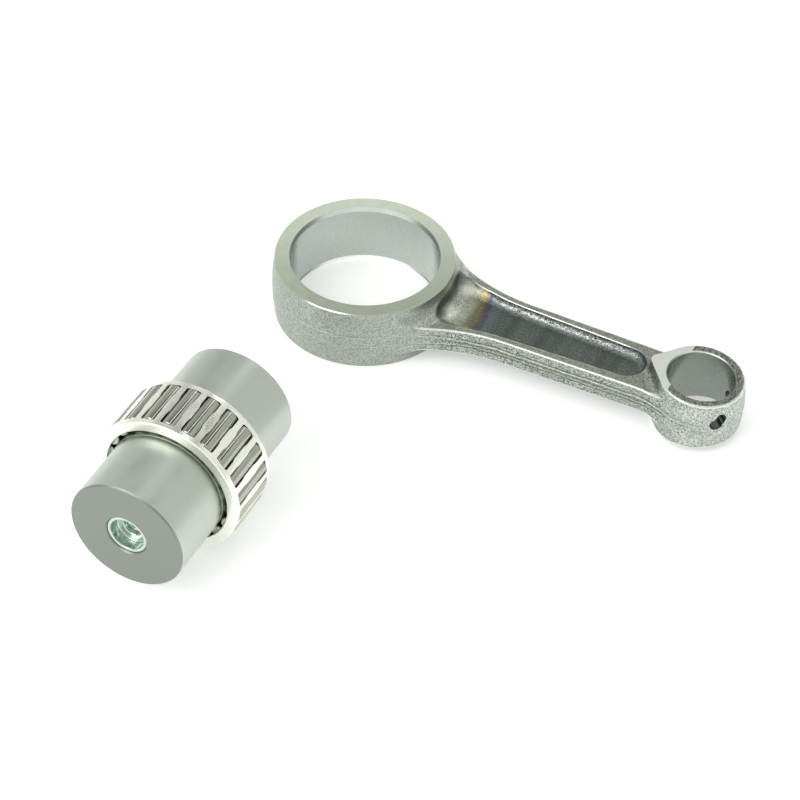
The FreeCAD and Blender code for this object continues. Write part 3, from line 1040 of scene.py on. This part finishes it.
def rod_finishes(centres):
    """The finish of each face of the rod, from where its centre lies."""
    high = np.abs(centres[:, 2] - MID)
    from_big = np.hypot(centres[:, 0], centres[:, 1])
    from_small = np.hypot(centres[:, 0] - CENTRES, centres[:, 1])
    in_big = from_big < BIG_BORE_R + LEAD_RISE + NEAR
    in_small = from_small < SMALL_BORE_R + SMALL_CHAMFER + NEAR
    on_edge = (from_big > BIG_BORE_R + 1) & (from_big < BIG_FACE_R + 1) & (high > MID - FACE_EDGE - NEAR)
    finish = np.full(len(centres), FORGED)
    finish[(high > MID - NEAR) | on_edge] = FACE
    finish[in_big] = HONED
    finish[in_big & (high > MID - LEAD_DEPTH)] = MOUTH
    finish[(high > FLAT_TOP - NEAR) & (from_small < SMALL_REACH)] = GROUND
    finish[in_small] = EYE_BORE
    finish[in_small & (from_small > SMALL_BORE_R + 2 * NEAR)] = EYE_MOUTH
    # Faces inside the oil holes, which take a dark look of painted shade
    at_eye = (finish == FORGED) & (from_small < SMALL_FACE_R + 0.6)
    finish[at_eye & (forging_at(centres) < -0.1)] = DRILLED
    return finish


def dress(mesh, looks, finish):
    """Give a mesh its looks, and each face the number of its own look."""
    mesh.materials.clear()
    for look in looks:
        mesh.materials.append(look)
    mesh.polygons.foreach_set("material_index", finish.astype(np.int32))


def dress_rod(rod, looks):
    """Mark the forging's surface and give each face of the rod its finish."""
    points, centres = read_points(rod.data)
    store_marks(rod.data, points)
    dress(rod.data, looks, rod_finishes(centres))
    crisp(rod.data)


def dress_pin(pin, looks):
    """Give the flat ends of the crank pin, and the bores in it, a darker copy of the pin's look: painted
    shade.
    """
    _, centres = read_points(pin.data)
    centres -= PIN_CENTRE
    out = np.hypot(centres[:, 0], centres[:, 2])
    end = (np.abs(centres[:, 1]) > PIN_HALF - PIN_CHAMFER) | (out < PIN_R - 1)
    dress(pin.data, looks, end)


def placed(obj, body, node, look=None):
    """Let a piece stand for its CAD node, ride on a body and take a finish."""
    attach(obj, body)
    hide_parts(node)
    if look:
        obj.data.materials.clear()
        obj.data.materials.append(look)
    return obj


# ---------------------------------------------------------------- the pieces
BIG_AXIS = (0, 0, 0)
EYE_AXIS = (CENTRES, 0, 0)
forged = forged_look()
face = turned_look("thrust_face", (0.66, 0.71, 0.59), (0.55, 0.60, 0.49), 0.002, 0.22)
honed = bore_look("honed_bore", BIG_AXIS, (0.54, 0.58, 0.55), (0.44, 0.475, 0.445), 0.28, (20.3, 22.45), 0.4)
# Painted highlight: the big-end lead-in takes a much brighter copy of the bore steel's colour, and painted
# shade on two sides
mouth = bore_look("turned_mouth_painted_highlight", BIG_AXIS, (1.0, 1.0, 0.99), (0.92, 0.95, 0.91), 0.6, (11.0, 20.0), 0.35)
ground = plain_look(
    "ground_flat", (0.97, 1.0, 0.96), (0.72, 0.76, 0.71), 0.34, grain=0.5, depth=0.004, stretch=(0.12, 1, 1)
)
eye_bore = bore_look("honed_eye", EYE_AXIS, (0.46, 0.50, 0.46), (0.32, 0.345, 0.32), 0.26, (8.2, 9.9), 0.5)
# Painted highlight: the small-end chamfer takes a much brighter copy of the eye bore's colour, and painted
# shade on two sides
eye_mouth_painted_highlight = bore_look("eye_mouth_painted_highlight", EYE_AXIS, (0.78, 0.82, 0.77), (0.60, 0.64, 0.59), 0.4, (4.0, 9.0), 0.4)
# Painted shade: the walls of the oil holes are coloured dark
drilled_painted_shade = plain_look("drilled_painted_shade", (0.20, 0.22, 0.20), (0.08, 0.09, 0.08), 0.32)
pin_look = plain_look("ground_steel", (0.58, 0.62, 0.56), (0.51, 0.545, 0.50), 0.42)
# Painted shade: a darker copy of the pin's ground steel, for its ends and bores
pin_end_painted_shade = plain_look("ground_end_painted_shade", (0.29, 0.315, 0.285), (0.235, 0.255, 0.23), 0.42)
zinc = plain_look("zinc_plate", (0.66, 0.74, 0.68), (0.42, 0.51, 0.45), 0.20)
silver = plain_look(
    "silver_plate", (1.0, 1.0, 0.93), (0.90, 0.91, 0.82), 0.28, grain=0.4, depth=0.006, edge=0.12
)
chrome = plain_look("bearing_steel", (0.47, 0.48, 0.42), (0.38, 0.39, 0.34), 0.08)

rod = connecting_rod()
dress_rod(rod, [forged, face, honed, mouth, ground, eye_bore, drilled_painted_shade, eye_mouth_painted_highlight])
placed(rod, "rod", "connecting_rod")
pin = crank_pin()
dress_pin(pin, [pin_look, pin_end_painted_shade])
placed(pin, "pin_set", "crank_pin")
placed(pin_plug("plug_near", -1), "pin_set", "pin_plug_near", zinc)
placed(pin_plug("plug_far", 1), "pin_set", "pin_plug_far", zinc)
placed(bearing_cage(), "cage", "bearing_cage", silver)
for index, node in enumerate(ROLLER_NODES):
    placed(roller("needle_" + node[-2:], index), node + "_body", node, chrome)


# ---------------------------------------------------------------- floor, light and camera
FLOOR_HALF = 3000
FLOOR_Z = -0.02
FLOOR_GLOW = 0.32
TENT_LOW = 0.74
TENT_HIGH = 0.95
CEILING_LOW = 0.675
CEILING_HIGH = 0.76
CEILING_SHADE = 0.5
# Each strip lamp or dark strip: where it starts and ends across the view, and its power
STRIPS = ((-0.60, -0.45, -0.5), (-0.16, -0.08, -0.4), (0.06, 0.12, 3.4), (0.2, 0.36, -0.4))
# Camera: its direction from the target, and its distance, focal length and target in millimetres
AZIMUTH = math.radians(25.51)
ELEVATION = math.radians(43.41)
ROLL = math.radians(1.79)
DISTANCE = 807.23
LENS = 122.42
TARGET = Vector((28.67, -32.40, 0.0))


def pale_floor():
    """A plain pale floor."""
    signs = ((-1, -1), (1, -1), (1, 1), (-1, 1))
    points = [(x * FLOOR_HALF, y * FLOOR_HALF, FLOOR_Z) for x, y in signs]
    made = new_object("floor", points, [(0, 1, 2, 3)])
    look = Look("floor", 0.0)
    look.shader.inputs["Specular IOR Level"].default_value = 0.1
    look.shader.inputs["Emission Color"].default_value = (1.0, 1.0, 1.0, 1.0)
    look.shader.inputs["Emission Strength"].default_value = FLOOR_GLOW
    made.data.materials.append(look.finish((0.92, 0.93, 0.92), 0.9))


def surroundings():
    """A bright tent with a darker ceiling at the back, crossed by strip lamps."""
    world = bpy.data.worlds.new("tent")
    world.use_nodes = True
    sky = Nodes(world.node_tree)
    x, y, z = sky.parts(sky.node("ShaderNodeTexCoord").outputs["Generated"])
    glow = sky.between(z, 0.0, 1.0, TENT_LOW, TENT_HIGH)
    behind = sky.between(y, 0.15, 0.5)
    ceiling = sky.math("MULTIPLY", behind, sky.between(z, CEILING_LOW, CEILING_HIGH))
    shade = sky.math("SUBTRACT", 1.0, sky.math("MULTIPLY", ceiling, CEILING_SHADE))
    glow = sky.math("MULTIPLY", glow, shade)
    for low, high, power in STRIPS:
        middle = (low + high) / 2
        half = (high - low) / 2
        off = sky.math("ABSOLUTE", sky.math("SUBTRACT", x, middle))
        strip = sky.math("MULTIPLY", behind, sky.between(off, half * 0.6, half, power, 0.0))
        glow = sky.math("MAXIMUM", sky.math("ADD", glow, strip), 0.02)
    back = world.node_tree.nodes["Background"]
    sky.feed(back.inputs["Strength"], glow)
    back.inputs["Color"].default_value = (0.98, 1.0, 0.975, 1.0)
    bpy.context.scene.world = world


def softbox(name, place, aim, size, power):
    """A square area light that points from place to aim, all in millimetres."""
    lamp = bpy.data.lights.new(name, "AREA")
    lamp.size = size * MM
    lamp.energy = power
    made = bpy.data.objects.new(name, lamp)
    made.location = Vector(place) * MM
    made.rotation_euler = (Vector(aim) - Vector(place)).to_track_quat("-Z", "Y").to_euler()
    bpy.context.scene.collection.objects.link(made)


def camera():
    """The camera, from its angles around the target."""
    back = Vector((
        math.sin(AZIMUTH) * math.cos(ELEVATION),
        -math.cos(AZIMUTH) * math.cos(ELEVATION),
        math.sin(ELEVATION),
    ))
    right = Vector((math.cos(AZIMUTH), math.sin(AZIMUTH), 0.0))
    up = back.cross(right)
    turn = Matrix((right, up, back)).transposed() @ Matrix.Rotation(ROLL, 3, "Z")
    lens = bpy.data.cameras.new("camera")
    lens.lens = LENS
    lens.sensor_width = 36.0
    lens.clip_end = 10.0
    made = bpy.data.objects.new("camera", lens)
    made.matrix_world = Matrix.Translation((TARGET + back * DISTANCE) * MM) @ turn.to_4x4()
    bpy.context.scene.collection.objects.link(made)
    bpy.context.scene.camera = made


pale_floor()
surroundings()
softbox("front", place=(-270, -650, 580), aim=(20, -40, 0), size=560, power=2.8)
camera()
bpy.context.scene.view_settings.view_transform = "Standard"
